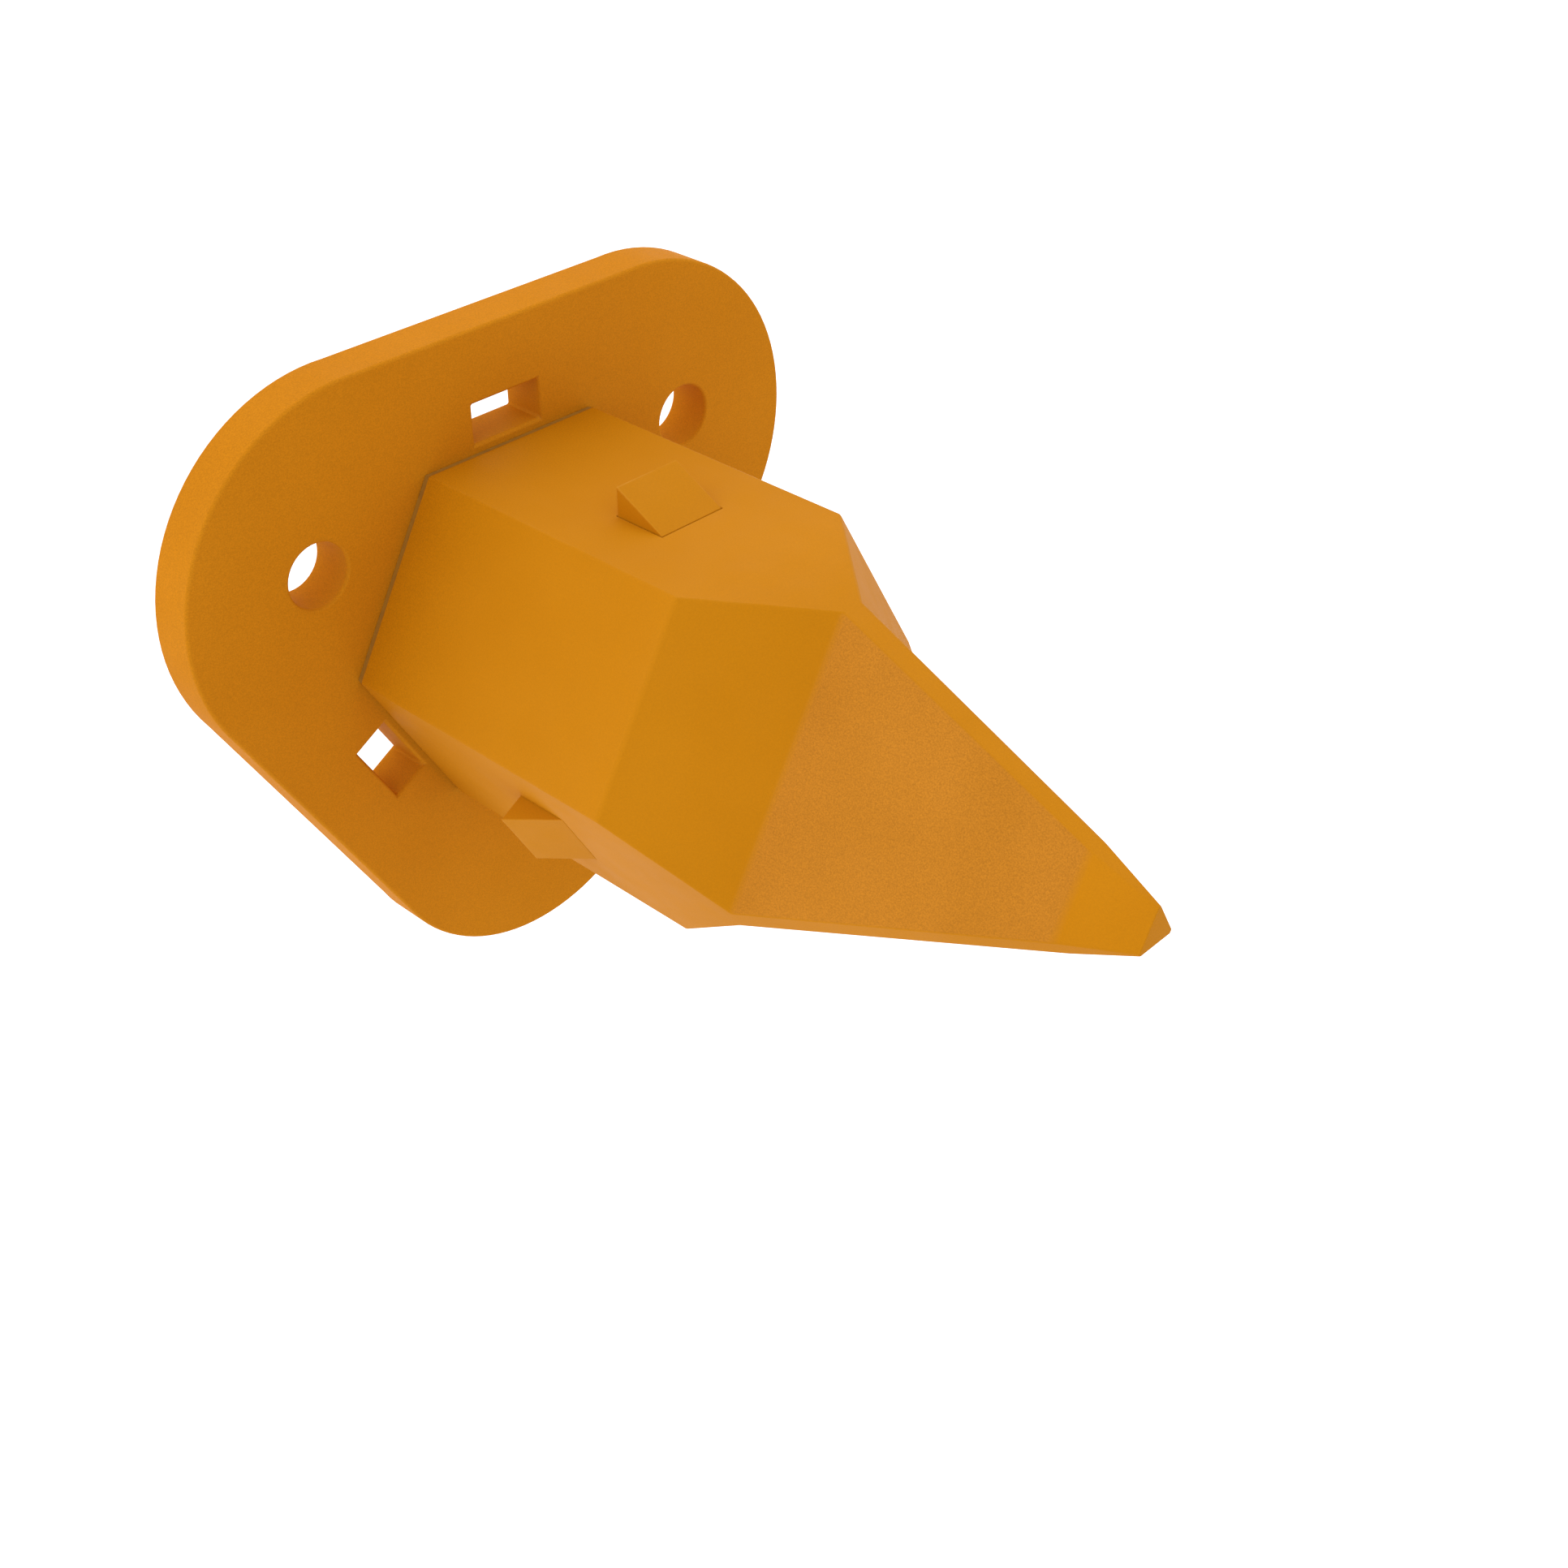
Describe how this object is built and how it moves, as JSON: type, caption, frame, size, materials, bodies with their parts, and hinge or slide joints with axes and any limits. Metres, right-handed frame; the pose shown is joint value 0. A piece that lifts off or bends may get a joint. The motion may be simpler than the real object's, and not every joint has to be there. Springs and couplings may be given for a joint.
{
  "type": "excavator bucket tooth",
  "caption": "Flange-mounted pyramid tooth: a replaceable hollow point locked to a bolted adapter nose by sprung latches.",
  "frame": {"origin": "where the tooth's axis meets the flange's flat back face", "axes": "+Z along the tooth's axis from the flange to the tip; +Y through the first latch and its release slot; +X completes the frame, across the two upper bolt lobes"},
  "size_m": [0.1912, 0.1791, 0.2096],
  "materials": {
    "flange_paint": "satin orange paint on cast steel",
    "point_paint": "satin orange paint on forged steel",
    "latch_paint": "satin orange paint on steel",
    "nose_iron": "machined cast steel, oiled",
    "fastener_steel": "zinc plated",
    "plunger_steel": "hardened and ground",
    "spring_steel": "oiled spring steel",
    "bronze": "machined bronze",
    "seal_rubber": "matt black",
    "urethane": "cast polyurethane"
  },
  "bodies": {
    "adapter_and_point": {"mounting_flange": "flange_paint", "adapter_nose": "nose_iron", "nose_screws": "fastener_steel", "lock_washers": "fastener_steel", "nose_dowels": "fastener_steel", "tooth_point": "point_paint", "rim_seal": "seal_rubber", "thrust_pad": "urethane", "latch_wiper_1": "seal_rubber", "latch_wiper_2": "seal_rubber", "latch_wiper_3": "seal_rubber", "keeper_pin_1": "fastener_steel", "keeper_pin_2": "fastener_steel", "keeper_pin_3": "fastener_steel", "wear_pad_1": "bronze", "wear_pad_2": "bronze", "wear_pad_3": "bronze", "wear_pad_screws": "fastener_steel", "plunger_spring": "spring_steel", "spring_plug": "fastener_steel", "plug_o_ring": "seal_rubber", "plug_circlip": "spring_steel"},
    "plunger": {"lock_plunger": "plunger_steel"},
    "latch_a": {"latch_1": "latch_paint"},
    "latch_b": {"latch_2": "latch_paint"},
    "latch_c": {"latch_3": "latch_paint"}
  },
  "joints": [
    {"name": "plunger_slide", "type": "slide", "parent": "adapter_and_point", "child": "plunger", "axis": [0, 0, -1], "range_m": [0, 0.0156], "stiffness_N_per_m": 10000, "springref_m": -0.004, "deforming": ["plunger_spring"]},
    {"name": "latch_1_slide", "type": "slide", "parent": "adapter_and_point", "child": "latch_a", "axis": [0, -1, 0], "range_m": [0, 0.0078]},
    {"name": "latch_2_slide", "type": "slide", "parent": "adapter_and_point", "child": "latch_b", "axis": [0.866, 0.5, 0], "range_m": [0, 0.0078]},
    {"name": "latch_3_slide", "type": "slide", "parent": "adapter_and_point", "child": "latch_c", "axis": [-0.866, 0.5, 0], "range_m": [0, 0.0078]}
  ],
  "couplings": [
    {"joint": "latch_1_slide", "follows": "plunger_slide", "ratio": 0.5},
    {"joint": "latch_2_slide", "follows": "plunger_slide", "ratio": 0.5},
    {"joint": "latch_3_slide", "follows": "plunger_slide", "ratio": 0.5}
  ]
}
